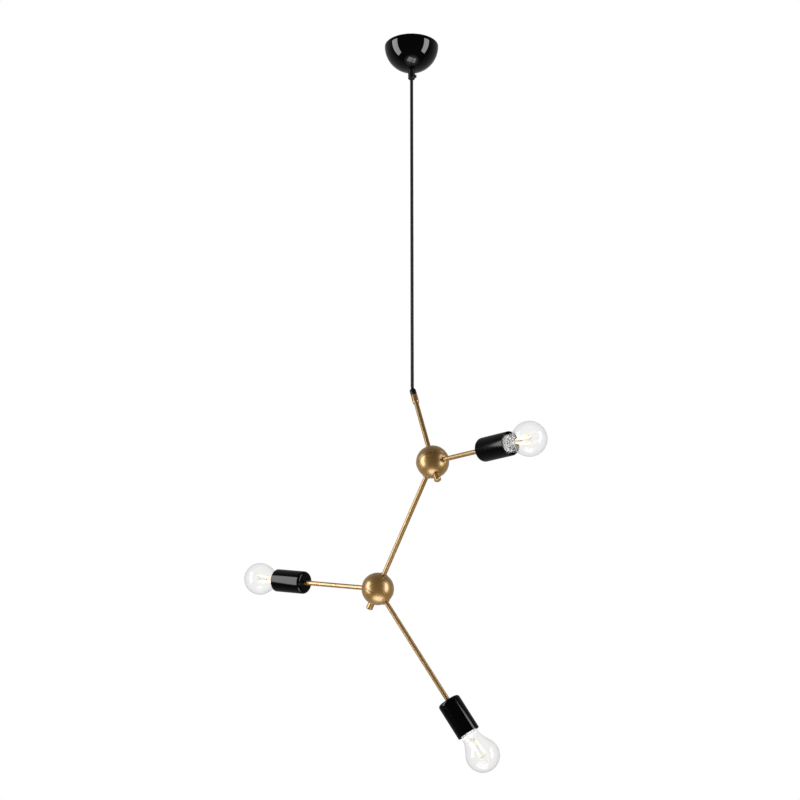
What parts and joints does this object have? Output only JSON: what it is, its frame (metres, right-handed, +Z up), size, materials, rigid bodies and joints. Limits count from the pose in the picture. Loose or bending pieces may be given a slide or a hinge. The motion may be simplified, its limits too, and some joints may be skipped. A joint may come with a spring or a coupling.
{
  "type": "multi arm pendant light",
  "caption": "Hanging light with a canopy, a cord, ball hubs and straight arms, each arm ending in a lampholder with a clear globe lamp.",
  "frame": {"origin": "on the ceiling plane, at the middle of the canopy and of the ceiling bracket's screw holes", "axes": "+Z up into the ceiling; +X along the bracket's two screw holes; +Y level, away from the side that the right arm reaches to"},
  "size_m": [0.5413, 0.5281, 1.3809],
  "materials": {
    "gloss_black_metal": "gloss",
    "black_holder": "gloss",
    "black_plastic": "satin",
    "cord_black": "satin",
    "satin_brass": "satin",
    "zinc_steel": "satin",
    "contact_brass": "polished",
    "insert_plastic": "matte",
    "terminal_white": "satin",
    "wire_insulation": "satin",
    "lead_sheath": "satin",
    "lamp_cap_metal": "satin",
    "lamp_contact": "satin",
    "clear_glass": "polished",
    "filament": "matte"
  },
  "bodies": {
    "canopy": {"ceiling_bracket": "zinc_steel", "threaded_rod": "zinc_steel", "rod_nuts": "zinc_steel", "canopy_shell": "gloss_black_metal", "cord_grip": "black_plastic", "terminal_block": "terminal_white", "supply_wires": "wire_insulation"},
    "grip_screw": {"grip_screw": "black_plastic"},
    "cord_end": {"cord_in_canopy": "cord_black"},
    "pendant": {"hanging_cord": "cord_black", "cord_sleeve": "black_plastic", "tube_collar": "satin_brass", "collar_screw": "satin_brass", "main_tube": "satin_brass", "main_lead": "lead_sheath", "main_tube_washer": "satin_brass", "upper_hub_back_shell": "satin_brass", "upper_hub_stud": "satin_brass"},
    "upper_clamp_nut": {"upper_hub_clamp_nut": "satin_brass"},
    "upper_front": {"upper_hub_front_shell": "satin_brass", "upper_hub_splice_caps": "terminal_white", "link_tube": "satin_brass", "link_lead": "lead_sheath", "link_fasteners": "satin_brass", "lower_hub_back_shell": "satin_brass", "lower_hub_stud": "satin_brass", "right_arm_tube": "satin_brass", "right_arm_fasteners": "satin_brass", "right_arm_lead": "lead_sheath", "right_holder_cup": "black_holder", "right_holder_insert": "insert_plastic", "right_holder_contacts": "contact_brass"},
    "lower_clamp_nut": {"lower_hub_clamp_nut": "satin_brass"},
    "lower_front": {"lower_hub_front_shell": "satin_brass", "lower_hub_splice_caps": "terminal_white", "left_arm_tube": "satin_brass", "left_arm_fasteners": "satin_brass", "left_arm_lead": "lead_sheath", "left_holder_cup": "black_holder", "left_holder_insert": "insert_plastic", "left_holder_contacts": "contact_brass", "bottom_arm_tube": "satin_brass", "bottom_arm_fasteners": "satin_brass", "bottom_arm_lead": "lead_sheath", "bottom_holder_cup": "black_holder", "bottom_holder_insert": "insert_plastic", "bottom_holder_contacts": "contact_brass"},
    "right_lamp": {"right_lamp_cap": "lamp_cap_metal", "right_lamp_tip": "lamp_contact", "right_lamp_glass": "clear_glass", "right_lamp_filaments": "filament"},
    "left_lamp": {"left_lamp_cap": "lamp_cap_metal", "left_lamp_tip": "lamp_contact", "left_lamp_glass": "clear_glass", "left_lamp_filaments": "filament"},
    "bottom_lamp": {"bottom_lamp_cap": "lamp_cap_metal", "bottom_lamp_tip": "lamp_contact", "bottom_lamp_glass": "clear_glass", "bottom_lamp_filaments": "filament"}
  },
  "joints": [
    {"name": "grip_screw_turn", "type": "hinge", "parent": "canopy", "child": "grip_screw", "pos_m": [0, 0, -0.06426], "axis": [1, 0, 0], "range_deg": [0, 720]},
    {"name": "pendant_turn", "type": "hinge", "parent": "canopy", "child": "cord_end", "pos_m": [0, 0, -0.07076], "axis": [0, 0, 1], "range_deg": [-170, 170]},
    {"name": "pendant_swing", "type": "hinge", "parent": "cord_end", "child": "pendant", "pos_m": [0, 0, -0.07076], "axis": [0, 1, 0], "range_deg": [-12, 12]},
    {"name": "upper_hub_turn", "type": "hinge", "parent": "pendant", "child": "upper_front", "pos_m": [0.03535, -0.06537, -0.85211], "axis": [0.2055, -0.3801, -0.9018], "range_deg": [-150, 150]},
    {"name": "upper_clamp_nut_turn", "type": "hinge", "parent": "pendant", "child": "upper_clamp_nut", "pos_m": [0.03535, -0.06537, -0.85211], "axis": [0.2055, -0.3801, -0.9018], "range_deg": [0, 720]},
    {"name": "lower_hub_turn", "type": "hinge", "parent": "upper_front", "child": "lower_front", "pos_m": [-0.06258, 0.06067, -1.05545], "axis": [-0.3788, 0.4876, -0.7866], "range_deg": [-150, 150]},
    {"name": "lower_clamp_nut_turn", "type": "hinge", "parent": "upper_front", "child": "lower_clamp_nut", "pos_m": [-0.06258, 0.06067, -1.05545], "axis": [-0.3788, 0.4876, -0.7866], "range_deg": [0, 720]},
    {"name": "right_lamp_removal", "type": "slide", "parent": "upper_front", "child": "right_lamp", "axis": [0.6604, -0.7504, -0.028], "range_m": [0, 0.05]},
    {"name": "left_lamp_removal", "type": "slide", "parent": "lower_front", "child": "left_lamp", "axis": [-0.7982, 0.5766, 0.1746], "range_m": [0, 0.05]},
    {"name": "bottom_lamp_removal", "type": "slide", "parent": "lower_front", "child": "bottom_lamp", "axis": [0.5289, -0.0414, -0.8476], "range_m": [0, 0.05]}
  ]
}
